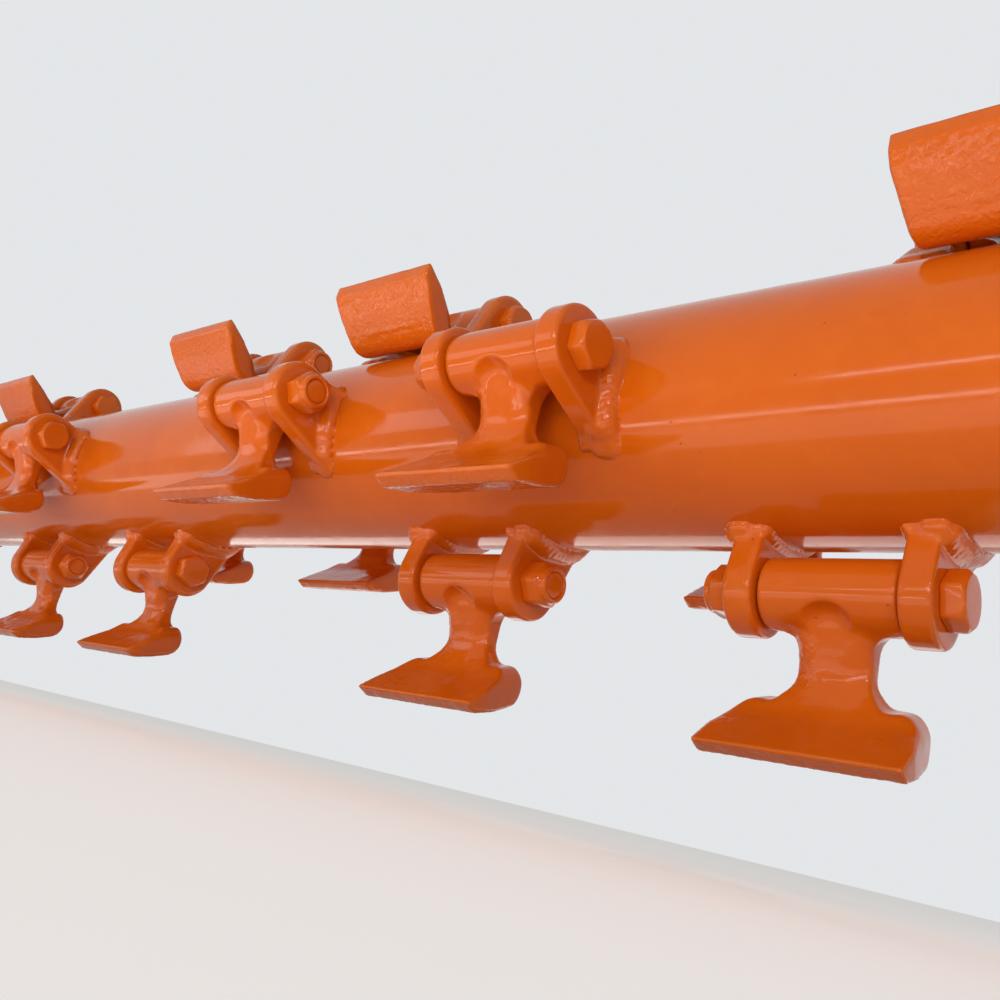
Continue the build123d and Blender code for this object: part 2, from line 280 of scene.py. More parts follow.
def outlineField(a, b, outline):
    # distance to a closed outline in a plane, negative inside
    nearest = np.full(a.shape, 1e9)
    inside = np.zeros(a.shape, bool)
    for (a0, b0), (a1, b1) in zip(outline, outline[1:] + outline[:1]):
        da, db = a1 - a0, b1 - b0
        length = da * da + db * db
        if length < 1e-9:
            continue
        along = np.clip(((a - a0) * da + (b - b0) * db) / length, 0, 1)
        nearest = np.minimum(nearest, (a - a0 - along * da) ** 2 + (b - b0 - along * db) ** 2)
        straddles = (b0 > b) != (b1 > b)
        crossing = a0 + (b - b0) * da / (db if abs(db) > 1e-9 else 1e-9)
        inside ^= straddles & (a < crossing)
    return np.where(inside, -1, 1) * np.sqrt(nearest)


def fade(value, start, stop):
    t = np.clip((value - start) / (stop - start), 0, 1)
    return t * t * (3 - 2 * t)


# Forged hammer, its pivot at the origin: x across, y forward and z up, in millimetres
hammerShape = {
    "box": ((-63, -22, -94), (63, 74, 26)),  # room for its field
    "bossRadius": 21.5,
    "bossHalf": 39.5,
    "bore": 10.3,
    "stemHalf": 21.0,
    "stemFront": 12.0,
    "backTop": (-15.0, -16.0),
    "scoopStart": -36.0,
    "scoopRadius": 32.0,
    "edgeTop": (67.0, -77.0),
    "edgeLow": (58.5, -85.5),
    "soleSag": 1.5,
    "soleDrops": ((50, 0.6), (38, -0.5), (27, -0.4)),  # how far ahead, and how far above or below the sag
    "heelForward": 1.0,
    "heelTop": -58.0,
    "heelRadius": 16.0,
    "footHalf": 57.0,
    "heelHalf": 50.0,
    "taperStart": 48.0,
    "neckRadius": 13.0,  # from the boss into the stem's side
    "neckTop": -19.5,
    "armTop": -58.0,
    "armRadius": 14.0,  # from the stem's side into the arm
    "armEndRadius": 12.0,
    "armSag": 1.4,  # the arms are this much lower halfway than at their ends
    "heelCornerRadius": 2.2,  # added to the arm's end towards the heel
    "leastRadius": 0.6,
    "sideRound": 3.0,
    "edgeSharper": 1.6,  # less of that rounding at the front edge
    "bossRound": 1.6,
    "bossBlend": 4.0,
    "recessHalf": 19.0,  # the scoop between stem and boss, at its rim
    "recessTop": -1.5,
    "recessWall": 11.0,
    "recessCurve": 2.2,  # how sharply its wall turns into its floor
    "recessBlend": 0.8,
    "stemFlat": 4.0,  # half width of the stem's flat middle, from which it curves away to both sides
    "stemFlatTop": 6.0,  # how much wider that middle is under the arch
    "stemFall": 6.0,  # how far its sides lie behind that middle
    "stemBlend": 1.2,
    "parting": 2.5,
    "partingDrift": 20,  # how far the parting line moves ahead in the foot
    "flash": 0.8,  # forging flash left along the parting line
    "flashHalf": 1.1,
}

# Where the hammer's features set in, each from nothing to all of it, in millimetres
hammerSpans = {
    "stemTop": (-10, -30),  # heights
    "stemFoot": (-40, -62),
    "underArch": (-42, -24),
    "armLevel": (-50, -56),
    "partingDrift": (-50, -80),
    "flashEnd": (-36, -29),
    "armStart": (24, 33),  # distances from the middle
    "armEnd": (46, 36),
    "flashSide": (30, 36),
    "armEndRadius": (60, 40),  # distances ahead of the pivot
    "heelCorner": (70, 45),
    "frontEdge": (50, 64),
}


def cornerRound(a, b, radius):
    # what two fields share, its corner rounded exactly
    inner = np.maximum(a, b)
    outer = np.hypot(np.maximum(a + radius, 0), np.maximum(b + radius, 0)) - radius
    return np.where((a > -radius) & (b > -radius), outer, inner)


def hammerField(step):
    s, spans = hammerShape, hammerSpans
    low, high = s["box"]
    x, y, z = fieldGrid(low, high, step)
    y2, z2 = y[0], z[0]
    wide = np.abs(x)
    scoopCentre = (s["stemFront"] + s["scoopRadius"], s["scoopStart"])
    toEdge = (scoopCentre[0] - s["edgeTop"][0], scoopCentre[1] - s["edgeTop"][1])
    reach = math.hypot(*toEdge)
    heading = math.atan2(toEdge[1], toEdge[0]) + math.asin(s["scoopRadius"] / reach)
    run = math.sqrt(reach**2 - s["scoopRadius"] ** 2)
    touch = (s["edgeTop"][0] + run * math.cos(heading), s["edgeTop"][1] + run * math.sin(heading))
    sweep = (math.degrees(math.atan2(touch[1] - scoopCentre[1], touch[0] - scoopCentre[0])) % 360) - 180
    front = [(s["stemFront"], 0), (s["stemFront"], s["scoopStart"])]
    front += arcPoints(scoopCentre, s["scoopRadius"], 180, sweep, 14)[1:] + [s["edgeTop"]]
    soleLow = s["edgeLow"][1] - s["soleSag"]
    heelCentre = (s["heelForward"] + s["heelRadius"], soleLow + s["heelRadius"])
    back = [s["edgeLow"]] + [(forward, soleLow + drop) for forward, drop in s["soleDrops"]]
    back += arcPoints(heelCentre, s["heelRadius"], 270, -90, 8)
    back += [(s["heelForward"], s["heelTop"]), s["backTop"], (0, 0)]
    side = outlineField(y2, z2, front + back)[None]
    before = [(-90, 60), (s["stemFront"], 60)] + front[1:]
    before += [(90, s["edgeTop"][1] - 9), (90, -160), (-90, -160)]
    ahead = outlineField(y2, z2, before)[None]
    neck, arm = s["stemHalf"] + s["neckRadius"], s["stemHalf"] + s["armRadius"]
    half = [(-40, 30), (neck, 30), (neck, s["neckTop"])]
    half += arcPoints((neck, s["neckTop"] - s["neckRadius"]), s["neckRadius"], 90, 90, 8)[1:]
    half += arcPoints((arm, s["armTop"] + s["armRadius"]), s["armRadius"], 180, 90, 8)
    half += [(90, s["armTop"]), (90, -130), (-40, -130)]
    across = outlineField(wide[:, 0, :], z[:, 0, :], half)[:, None, :]
    sag = s["armSag"] * fade(wide, *spans["armStart"]) * fade(wide, *spans["armEnd"])
    across = across + sag * fade(z, *spans["armLevel"]) + 0 * y
    plan = outlineField(
        wide[:, :, 0],
        y[:, :, 0],
        [
            (-60, 120),
            (s["footHalf"], 120),
            (s["footHalf"], s["taperStart"]),
            (s["heelHalf"], s["heelForward"]),
            (s["heelHalf"], -60),
            (-60, -60),
        ],
    )[:, :, None]
    rounding = s["armEndRadius"] * fade(y, *spans["armEndRadius"])
    rounding = rounding + s["heelCornerRadius"] * fade(y, *spans["heelCorner"]) + s["leastRadius"]
    body = cornerRound(across, plan, rounding)
    body = smoothCut(side + 0 * x, body, s["sideRound"] - s["edgeSharper"] * fade(y, *spans["frontEdge"]))
    flat = s["stemFlat"] + s["stemFlatTop"] * fade(z, *spans["underArch"])
    share = np.clip((wide - flat) / (s["stemHalf"] - flat), 0, 1.15)
    onStem = (1 - fade(z, *spans["stemFoot"])) * fade(z, *spans["stemTop"])
    curved = (ahead + s["stemFall"] * share**2 * onStem) / np.sqrt(1 + (0.8 * share * onStem) ** 2)
    body = smoothCut(body, curved, s["stemBlend"])
    parting = s["parting"] + s["partingDrift"] * fade(z, *spans["partingDrift"])
    rim = np.abs(np.maximum(across, side) + 0.2) - s["flash"]
    flash = smoothCut(np.abs(rim), np.abs(y - parting) - s["flashHalf"], 1.0)
    flash = flash + 6 * fade(wide, *spans["flashSide"]) + 6 * fade(z, *spans["flashEnd"])
    body = smoothJoin(body, flash, 1.4)
    radial = np.hypot(y, z)
    boss = cornerRound(radial - s["bossRadius"], wide - s["bossHalf"], s["bossRound"])
    whole = smoothJoin(body, boss, s["bossBlend"])
    arch = np.hypot(x, np.maximum(z - s["recessTop"] + s["recessHalf"], 0)) - s["recessHalf"]
    inward = np.clip(-arch / s["recessWall"], 0, 1)
    wall = s["bossRadius"] - s["stemFront"]
    floorAt = s["stemFront"] + wall * (1 - inward) ** s["recessCurve"] + np.maximum(arch, 0) * 2.2
    floorAt = floorAt + 90 * fade(z, s["scoopStart"] + 6, s["scoopStart"] - 10)
    slope = s["recessCurve"] * wall / s["recessWall"] * (1 - inward) ** (s["recessCurve"] - 1)
    whole = smoothCut(whole, (y - floorAt) / np.sqrt(1 + slope**2), s["recessBlend"])
    return np.maximum(whole, s["bore"] - radial), low


# Skin of the forging: size and height of each kind of lump, in millimetres
forgedSkin = {
    "coarse": (13, 0.22),
    "middle": (6, 0.1),
    "pits": (4, 0.5),
    "pitShare": 0.6,  # higher leaves fewer pits
    "fine": (2.6, 0.2),
    "fineElsewhere": 0.02,
    "deepest": 0.7,
    "proudest": 0.25,
    "proudestOnSole": 0.13,
}

# Where the skin's marks set in, from nothing to all of them: in millimetres, the slopes as parts of 1
skinSpans = {
    "boss": (20, 27),
    "armSide": (19, 25),
    "armTop": (-48, -58),
    "bevelSide": (7, 10),
    "bevelTop": (-14, -22),
    "bevelFoot": (-62, -46),
    "bevelFront": (-4, 2),
    "endSlope": (0.5, 0.8),
    "soleSlope": (-0.3, -0.8),
    "soleTop": (-60, -80),
}


def roughenHammer(points, quads, seed):
    # hammered scale, deeper on the bevels and the sole than on the turned boss
    s, spans = forgedSkin, skinSpans
    normals = surfaceNormals(points, quads)
    x, y, z = points.T
    wide = np.abs(x)
    radial = np.hypot(y, z)
    forged = fade(radial, *spans["boss"])
    arms = fade(wide, *spans["armSide"]) * fade(z, *spans["armTop"])
    bevels = fade(wide, *spans["bevelSide"]) * fade(z, *spans["bevelTop"])
    bevels = bevels * fade(z, *spans["bevelFoot"]) * fade(y, *spans["bevelFront"])
    bevels = bevels * (0.12 + 0.88 * (x < 0))
    ends = fade(np.abs(normals[:, 0]), *spans["endSlope"])
    sole = fade(normals[:, 2], *spans["soleSlope"]) * fade(z, *spans["soleTop"])
    coarse = latticeNoise(x, y, z, s["coarse"][0], seed) * s["coarse"][1]
    middle = latticeNoise(x, y, z, s["middle"][0], seed + 1) * s["middle"][1]
    fine = latticeNoise(x, y, z, s["fine"][0], seed + 2)
    pits = np.minimum(latticeNoise(x, y, z, s["pits"][0], seed + 3) + s["pitShare"], 0) * s["pits"][1]
    amount = forged * (coarse + (middle + pits) * (1 - 0.8 * ends))
    amount = amount + fine * (s["fineElsewhere"] + s["fine"][1] * (bevels + sole))
    inBore = radial < hammerShape["bore"] + 1.2
    endFace = fade(wide, hammerShape["bossHalf"] - 3, hammerShape["bossHalf"] - 1) * (radial < 22)
    amount = np.where(inBore, 0, amount) * (1 - endFace)
    scale = forged * (0.05 + 0.25 * arms * (x < 0) + 0.9 * bevels + 1.1 * sole) * (1 - 0.9 * ends)
    proudest = s["proudest"] + (s["proudestOnSole"] - s["proudest"]) * sole
    return points + normals * np.clip(amount, -s["deepest"], proudest)[:, None], np.clip(scale, 0, 1)


bendGain = 5  # higher spreads the painted shade in hollows and the painted highlight on edges, where the paint also runs thick and thin, further from them


def cornering(points, quads):
    # how convex the surface is at each point, from -1 in a hollow to 1 on an edge
    ends, near, tally = neighbours(points, quads)
    offset = points - near / np.maximum(tally, 1)[:, None]
    bend = (offset * surfaceNormals(points, quads)).sum(1)
    length = np.linalg.norm(points[ends[:, 0]] - points[ends[:, 1]], axis=1).mean()
    for turn in range(2):
        total = np.bincount(ends[:, 0], bend[ends[:, 1]], len(points))
        total = total + np.bincount(ends[:, 1], bend[ends[:, 0]], len(points))
        bend = 0.5 * bend + 0.5 * total / np.maximum(tally, 1)
    return np.clip(bend / length * bendGain, -1, 1)


# Clevis lug, its pivot straight ahead of the axis: x across from its middle, y outward, z the way it leads
lugShape = {
    "box": ((-26, 54, -66), (26, 146, 38)),  # room for its field
    "headRadius": 27.0,
    "leadAngle": 13.7,
    "trailAngle": -32.5,
    "edgeRound": 2.6,
    "leg": 10.0,  # of the weld bead on the outer side
    "innerShare": 0.55,  # of that leg, on the side towards the hammer
    "frontShare": 0.6,
    "tailHeight": 4.0,
    "innerSpan": (2, -4),  # across the lug, from the outer bead to the inner one
    "tailSpan": (12, -1),  # from the trailing end
    "frontSpan": (-4, 3),  # from the leading end
    "beadCurve": 1.8,  # 1 makes the bead flat, 2 makes it round
    "beadSink": 0.6,  # how far the bead's own corner lies inside lug and tube
    "rippleLength": 5.0,
    "rippleDepth": 0.8,
    "rippleBow": 0.05,
    "rippleWander": 0.7,
    "lumpSize": 15.0,
    "lumpDepth": 1.6,
    "plateBlend": 2.2,
    "toeBlend": 1.2,
    "skinDepth": (0.5, 1.8),  # top and underside of the thin skin on the tube that carries the bead
    "skinReach": 15,
}


def tangentTouch(start, centre, radius, side):
    dy, dz = centre[0] - start[0], centre[1] - start[1]
    reach = math.hypot(dy, dz)
    heading = math.atan2(dz, dy) + side * math.asin(radius / reach)
    run = math.sqrt(reach**2 - radius**2)
    return start[0] + run * math.cos(heading), start[1] + run * math.sin(heading)


def lugField(step, outer, seed):
    s = lugShape
    tube = rotor["tubeRadius"]
    low, high = s["box"]
    x, y, z = fieldGrid(low, high, step)
    head = (rotor["pivotRadius"], 0.0)
    turns = [math.radians(s[key]) for key in ("leadAngle", "trailAngle")]
    foot = [(tube * math.cos(turn), tube * math.sin(turn)) for turn in turns]
    leadTouch = tangentTouch(foot[0], head, s["headRadius"], 1)
    trailTouch = tangentTouch(foot[1], head, s["headRadius"], -1)
    start = math.degrees(math.atan2(trailTouch[1], trailTouch[0] - head[0]))
    stop = math.degrees(math.atan2(leadTouch[1], leadTouch[0] - head[0]))
    middle = sum(turns) / 2
    outline = [(tube * 0.7 * math.cos(middle), tube * 0.7 * math.sin(middle)), foot[1], trailTouch]
    outline += arcPoints(head, s["headRadius"], start, (stop - start) % 360, 28)[1:-1] + [leadTouch, foot[0]]
    flat = outlineField(y[0], z[0], outline)[None]
    half = rotor["lugThickness"] / 2
    plate = cornerRound(flat + 0 * x, np.abs(x) - half, s["edgeRound"])
    radius = np.hypot(y, z)
    height = radius - tube
    along = tube * np.arctan2(z, y)
    centre = tube * middle
    length = tube * (turns[0] - turns[1]) / 2
    outX, outAlong = np.abs(x) - half, np.abs(along - centre) - length
    away = np.hypot(np.maximum(outX, 0), np.maximum(outAlong, 0)) + np.minimum(np.maximum(outX, outAlong), 0)
    turned = np.arctan2(np.maximum(outX, 0), np.maximum(outAlong, 0) + 1e-6)
    run = along - np.sign(along - centre) * 6 * (math.pi / 2 - turned) + 9 * (x > 0)
    wander = latticeNoise(x, y, z, 8, seed)
    lumps = latticeNoise(x, y, z, s["lumpSize"], seed + 5)
    bowed = run + s["rippleBow"] * (away - height) ** 2
    phase = bowed / s["rippleLength"] * math.pi + s["rippleWander"] * wander
    ripple = np.abs(np.sin(phase)) ** 0.7
    inner = fade(x * outer, *s["innerSpan"])
    tail = fade(along, *(centre - length + shift for shift in s["tailSpan"]))
    leg = s["leg"] * (1 - (1 - s["innerShare"]) * inner)
    leg = leg + s["lumpDepth"] * lumps + s["rippleDepth"] * (ripple - 0.6)
    front = fade(along, *(centre + length + shift for shift in s["frontSpan"]))
    leg = leg * (1 - (1 - s["frontShare"]) * front)
    rise = leg * (1 - tail) + (s["tailHeight"] + 0.4 * lumps) * tail
    a, b = np.maximum(away + s["beadSink"], 0) / leg, np.maximum(height + s["beadSink"], 0) / rise
    weld = ((a ** s["beadCurve"] + b ** s["beadCurve"]) ** (1 / s["beadCurve"]) - 1) * np.minimum(leg, rise)
    whole = smoothJoin(plate, weld, s["plateBlend"])
    whole = smoothJoin(whole, radius - (tube - s["skinDepth"][0]), s["toeBlend"])
    whole = np.maximum(whole, tube - s["skinDepth"][1] - radius)
    whole = np.maximum(whole, away - s["skinReach"])
    return whole, low


cornerSharpness = 30  # of the hexagons, whose corners the paint softens


def hexRadius(turns, half):
    total = sum(np.maximum(np.cos(turns - math.radians(60 * k)), 0) ** cornerSharpness for k in range(6))
    return half / total ** (1 / cornerSharpness)


def ringsMesh(rings, closed=False):
    # quads between rings of equal count, capped unless the rings close on themselves
    count = len(rings[0])
    points = np.concatenate(rings)
    faces = []
    pairs = [(k, k + 1) for k in range(len(rings) - 1)] + ([(len(rings) - 1, 0)] if closed else [])
    spots = np.arange(count)
    following = (spots + 1) % count
    for a, b in pairs:
        a, b = a * count, b * count
        faces.append(np.stack([a + spots, a + following, b + following, b + spots], 1))
    faces = [list(face) for face in np.concatenate(faces)]
    if not closed:
        faces.append(list(spots[::-1]))
        faces.append(list((len(rings) - 1) * count + spots))
    return points, faces


def ringAt(along, radius, turns):
    return np.stack([np.broadcast_to(along, turns.shape), radius * np.cos(turns), radius * np.sin(turns)], 1)


# Bolt heads and lock nuts, in millimetres
boltShape = {
    "across": 30.0,
    "shankRadius": 10.0,
    "headHeight": 12.5,
    "nutHeight": 20.0,
    "hexHeight": 14.0,
    "collarRadius": 13.5,
    "aroundHex": 96,
    "aroundShank": 32,
    # over the collar's rolled lip and across the bolt's end: below the nut's top, inside the collar
    "lip": ((2.4, 0.0), (1.3, 0.35), (0.5, 1.0), (0.1, 1.8), (0.0, 2.5), (0.25, 3.2), (1.1, 3.6), (2.3, 3.8)),
    "boltEnd": ((2.3, 4.1), (1.5, 4.4), (1.1, 4.9), (0.95, 5.6), (0.9, 9.0)),
}


def hexSides():
    turns = np.linspace(0, 2 * math.pi, boltShape["aroundHex"] + 1)[:-1]
    return turns, boltShape["across"] / 2, hexRadius(turns, boltShape["across"] / 2)


def hexHead():
    # head of a bolt from its seat outward, its face a full circle where the corners are cut back
    turns, half, corner = hexSides()
    height = boltShape["headHeight"]
    face = half * 0.94
    drop = np.maximum(corner - face, 0) * 0.75
    rings = [(0.0, corner - 0.6), (0.35, corner - 0.15), (1.0, corner), (height - 1.1 - drop, corner)]
    rings += [(height - 0.4 - 0.8 * drop, corner - 0.3 - 0.15 * (corner - face))]
    rings += [(height - 0.25, face + 0.25), (height - 0.05, face - 0.5)]
    rings += [(height, face - 1.6), (height, face * 0.4)]
    return ringsMesh([ringAt(along, radius, turns) for along, radius in rings])


def lockNut():
    # hexagon, rolled collar, and the bolt's end a little inside it
    turns, half, corner = hexSides()
    height, hexagon, collar = (boltShape[key] for key in ("nutHeight", "hexHeight", "collarRadius"))
    drop = np.maximum(corner - collar - 0.6, 0) * 0.62
    rings = [(0.0, corner - 0.6), (0.35, corner - 0.15), (1.0, corner), (hexagon + 0.6 - drop, corner)]
    rings += [(hexagon + 1.2 - 0.7 * drop, corner - 0.35 - 0.25 * (corner - collar))]
    rings += [(hexagon + 1.3, collar + 0.35), (hexagon + 2.0, collar)]
    rings += [(height - below, collar - inward) for below, inward in boltShape["lip"] + boltShape["boltEnd"]]
    return ringsMesh([ringAt(along, radius, turns) for along, radius in rings])


class Wire:
    # one socket of a material's nodes, which takes part in sums
    def __init__(self, sheet, socket):
        self.sheet = sheet
        self.socket = socket

    def sum(self, operation, first, second):
        return self.sheet.node("ShaderNodeMath", {"operation": operation}, {0: first, 1: second})

    def __add__(self, other):
        return self.sum("ADD", self, other)

    def __radd__(self, other):
        return self.sum("ADD", other, self)

    def __sub__(self, other):
        return self.sum("SUBTRACT", self, other)

    def __rsub__(self, other):
        return self.sum("SUBTRACT", other, self)

    def __mul__(self, other):
        return self.sum("MULTIPLY", self, other)

    def ramp(self, low, high, amount=None):
        # 0 at the low value, 1 or the amount at the high one
        limits = {"Value": self, "From Min": low, "From Max": high}
        share = self.sheet.node("ShaderNodeMapRange", {"interpolation_type": "SMOOTHSTEP"}, limits)
        return share if amount is None else share * amount


class Sheet:
    # the nodes of a material, or of the world
    def __init__(self, owner):
        self.owner = owner
        owner.use_nodes = True
        self.tree = owner.node_tree
        self.tree.nodes.clear()

    def node(self, kind, settings=None, inputs=None, out=0):
        made = self.tree.nodes.new(kind)
        for key, value in (settings or {}).items():
            setattr(made, key, value)
        for key, value in (inputs or {}).items():
            if isinstance(value, Wire):
                self.tree.links.new(value.socket, made.inputs[key])
            else:
                made.inputs[key].default_value = value
        return Wire(self, made.outputs[out]) if made.outputs else made

    def mixColour(self, share, first, second):
        first = (*first, 1) if isinstance(first, tuple) else first
        second = (*second, 1) if isinstance(second, tuple) else second
        return self.node("ShaderNodeMix", {"data_type": "RGBA"}, {0: share, 6: first, 7: second}, out=2)

    def place(self):
        return self.node("ShaderNodeTexCoord", out=3)

    def noise(self, scale, detail, roughness, distortion=0.0, shift=0.0):
        place = self.place()
        if shift:
            moved = {0: place, 1: (shift, shift * 0.7, -shift)}
            place = self.node("ShaderNodeVectorMath", {"operation": "ADD"}, moved)
        values = {"Vector": place, "Scale": scale, "Detail": detail}
        values |= {"Roughness": roughness, "Distortion": distortion}
        return self.node("ShaderNodeTexNoise", {"noise_dimensions": "3D"}, values)

    def larger(self, first, second):
        return self.node("ShaderNodeMath", {"operation": "MAXIMUM"}, {0: first, 1: second})

    def seen(self):
        # 1 for rays that show the surroundings, in the picture or mirrored; 0 for rays that gather light
        kinds = ("Is Camera Ray", "Is Glossy Ray", "Is Transmission Ray")
        camera, glossy, through = (self.node("ShaderNodeLightPath", out=kind) for kind in kinds)
        return self.larger(self.larger(camera, glossy), through)

    def attribute(self, name):
        return self.node("ShaderNodeAttribute", {"attribute_name": name}, out=2)

    def finish(self, shader, kind="ShaderNodeOutputMaterial"):
        self.node(kind, None, {"Surface": shader})
        return self.owner


# Glossy orange paint: its colours, its marks, painted shade in hollows and painted highlights on edges, and
# the relief that light shows on it
paintLook = {
    "orange": (0.64, 0.116, 0.004),
    "deep": (0.54, 0.084, 0.003),  # in random darker patches, and in hollows as painted shade, where the paint also runs thick
    "pale": (0.72, 0.165, 0.014),  # in random lighter clouds, and on edges as a painted highlight, where the paint is also thin
    "speck": (0.10, 0.035, 0.02),
    "roughness": 0.1,
    "specular": 0.2,
    "coat": 0.06,
    "coatRoughness": 0.04,
    "broadScale": 9,  # the noises' scales are in lumps to the metre
    "cloudScale": 55,
    "peelScale": 620,
    "rippleScale": 140,
    "gritScale": 330,
    "dustScale": 900,
    "pebbleScale": 230,
    "speckScale": 85.0,
    "speckPatches": 28,
    "broadDeep": (0.35, 0.65, 0.4),  # from where to where in the noise, and how much of the colour
    "cloudPale": (0.5, 0.72, 0.15),
    "hollowDeep": (0.15, 0.8, 0.55),
    "edgePale": (0.35, 0.95, 0.35),
    "speckSize": (0.03, 0.08),
    "speckRarity": (0.52, 0.6),
    "speckShare": 0.75,
    "cloudRough": (0.45, 0.7, 0.1),
    "dustRough": (0.6, 0.8, 0.1),
    "speckRough": 0.35,
    "peelHeight": 0.03,
    "rippleHeight": 0.16,
    "gritHeight": 0.25,  # this and the next are times how far the material is forged
    "pebbleHeight": 7,
    "speckDepth": 0.5,
    "bumpStrength": 0.55,
    "bumpDistance": 0.0006,
}


def paintMaterial(name, forged, shift, speckAmount=1.0):
    look = paintLook
    sheet = Sheet(bpy.data.materials.new(name))
    broad = sheet.noise(look["broadScale"], 3, 0.55, shift=shift + 1)
    cloud = sheet.noise(look["cloudScale"], 3, 0.6, shift=shift + 2)
    peel = sheet.noise(look["peelScale"], 2, 0.5, shift=shift + 3)
    ripple = sheet.noise(look["rippleScale"], 2, 0.5, shift=shift + 4)
    dust = sheet.noise(look["dustScale"], 1, 0.5, shift=shift + 6)
    corner = sheet.attribute("corner")
    colour = sheet.mixColour(broad.ramp(*look["broadDeep"]), look["orange"], look["deep"])
    colour = sheet.mixColour(cloud.ramp(*look["cloudPale"]), colour, look["pale"])
    # darker in hollows: painted shade, with thick paint pooling there as well
    colour = sheet.mixColour((0 - corner).ramp(*look["hollowDeep"]), colour, look["deep"])
    # paler along edges: a painted highlight, with thin paint there as well
    colour = sheet.mixColour(corner.ramp(*look["edgePale"]), colour, look["pale"])
    cellPlace = {"Vector": sheet.place(), "Scale": look["speckScale"], "Randomness": 1.0}
    cells = sheet.node("ShaderNodeTexVoronoi", {"feature": "F1"}, cellPlace)
    patches = sheet.noise(look["speckPatches"], 1, 0.5, shift=shift + 7)
    specks = (1 - cells.ramp(*look["speckSize"])) * patches.ramp(*look["speckRarity"]) * speckAmount
    colour = sheet.mixColour(specks * look["speckShare"], colour, look["speck"])
    roughness = look["roughness"] + cloud.ramp(*look["cloudRough"]) + dust.ramp(*look["dustRough"])
    roughness = roughness + specks * look["speckRough"]
    height = peel * look["peelHeight"] + ripple * look["rippleHeight"]
    if forged:
        grit = sheet.noise(look["gritScale"], 3, 0.6, shift=shift + 5)
        pebbles = sheet.noise(look["pebbleScale"], 2, 0.45, 0.8, shift=shift + 8)
        height = height + grit * (look["gritHeight"] * forged)
        height = height + pebbles * (sheet.attribute("scale") * (look["pebbleHeight"] * forged))
    height = height - specks * look["speckDepth"]
    relief = {"Strength": look["bumpStrength"], "Distance": look["bumpDistance"], "Height": height}
    bump = sheet.node("ShaderNodeBump", None, relief)
    shader = sheet.node(
        "ShaderNodeBsdfPrincipled",
        None,
        {
            "Base Color": colour,
            "Roughness": roughness,
            "Specular IOR Level": look["specular"],
            "Coat Weight": look["coat"],
            "Coat Roughness": look["coatRoughness"],
            "Normal": bump,
        },
    )
    return sheet.finish(shader)


# Bare metal of shafts, bearings and nipples
steelLook = {
    "tarnishScale": 40,
    "tarnish": (0.4, 0.7),
    "tarnished": 0.72,  # of the colour's brightness
    "tarnishRough": (0.35, 0.75, 0.15),
    "bumpStrength": 0.3,
    "bumpDistance": 0.0002,
}


def steelMaterial(name, colour, roughness, scale):
    look = steelLook
    sheet = Sheet(bpy.data.materials.new(name))
    tarnish = sheet.noise(look["tarnishScale"], 4, 0.6)
    scratch = sheet.noise(scale, 3, 0.6)
    darker = tuple(channel * look["tarnished"] for channel in colour)
    shade = sheet.mixColour(tarnish.ramp(*look["tarnish"]), colour, darker)
    relief = {"Strength": look["bumpStrength"], "Distance": look["bumpDistance"], "Height": scratch}
    bump = sheet.node("ShaderNodeBump", None, relief)
    rough = roughness + tarnish.ramp(*look["tarnishRough"])
    metal = {"Base Color": shade, "Metallic": 1.0, "Roughness": rough, "Normal": bump}
    return sheet.finish(sheet.node("ShaderNodeBsdfPrincipled", None, metal))


tubePaint = paintMaterial("drumPaint", forged=0.0, shift=0.0)
hammerPaint = paintMaterial("hammerPaint", forged=0.35, shift=3.0)
lugPaint = paintMaterial("lugPaint", forged=0.12, shift=6.0)
boltPaint = paintMaterial("boltPaint", forged=0.05, shift=9.0, speckAmount=0.4)
housingPaint = paintMaterial("housingPaint", forged=0.3, shift=12.0)
turnedSteel = steelMaterial("turnedSteel", (0.56, 0.55, 0.53), roughness=0.3, scale=900)
bearingSteel = steelMaterial("bearingSteel", (0.5, 0.5, 0.51), roughness=0.25, scale=600)
zincSteel = steelMaterial("zincSteel", (0.62, 0.58, 0.46), roughness=0.35, scale=500)
print("materials made")

places = hammerPlaces()
print("hammers:", len(places))

# Drum tube, very slightly uneven so that reflections along it waver
tubeShape = {
    "wall": 10,
    "around": 160,
    "rings": 250,
    "innerRings": 8,
    "endRound": 0.8,
    "waveRadius": 84,  # the round on which the waves are worked out
    "wave": {"spacing": 46, "depth": 0.09, "flatter": 0.4, "seed": 11},
    "dimples": {"spacing": 17, "depth": 0.03, "seed": 12},
    "below": 0.12,  # keeps the waves inside the tube's own radius
}
tubeLow, tubeHigh = (np.array(corner) * 1000 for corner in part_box("rotor_tube"))
around = np.linspace(0, 2 * math.pi, tubeShape["around"] + 1)[:-1]
wave, dimples = tubeShape["wave"], tubeShape["dimples"]
rings = []
for along in np.linspace(tubeLow[0], tubeHigh[0], tubeShape["rings"]):
    toEnd = min(along - tubeLow[0], tubeHigh[0] - along)
    endDrop = tubeShape["endRound"] * max(0, 1 - toEnd) ** 2
    x = np.full(around.shape, along)
    y, z = tubeShape["waveRadius"] * np.cos(around), tubeShape["waveRadius"] * np.sin(around)
    long = latticeNoise(x, y * wave["flatter"], z * wave["flatter"], wave["spacing"], wave["seed"])
    short = latticeNoise(x, y, z, dimples["spacing"], dimples["seed"])
    waver = wave["depth"] * long + dimples["depth"] * short - tubeShape["below"]
    rings.append(ringAt(along, rotor["tubeRadius"] + waver - endDrop, around))
for along in np.linspace(tubeHigh[0], tubeLow[0], tubeShape["innerRings"]):
    rings.append(ringAt(along, rotor["tubeRadius"] - tubeShape["wall"], around))
points, faces = ringsMesh(rings, closed=True)
makeMesh("drum_tube", points, faces, tubePaint, "rotor", ["rotor_tube"])
print("tube made")

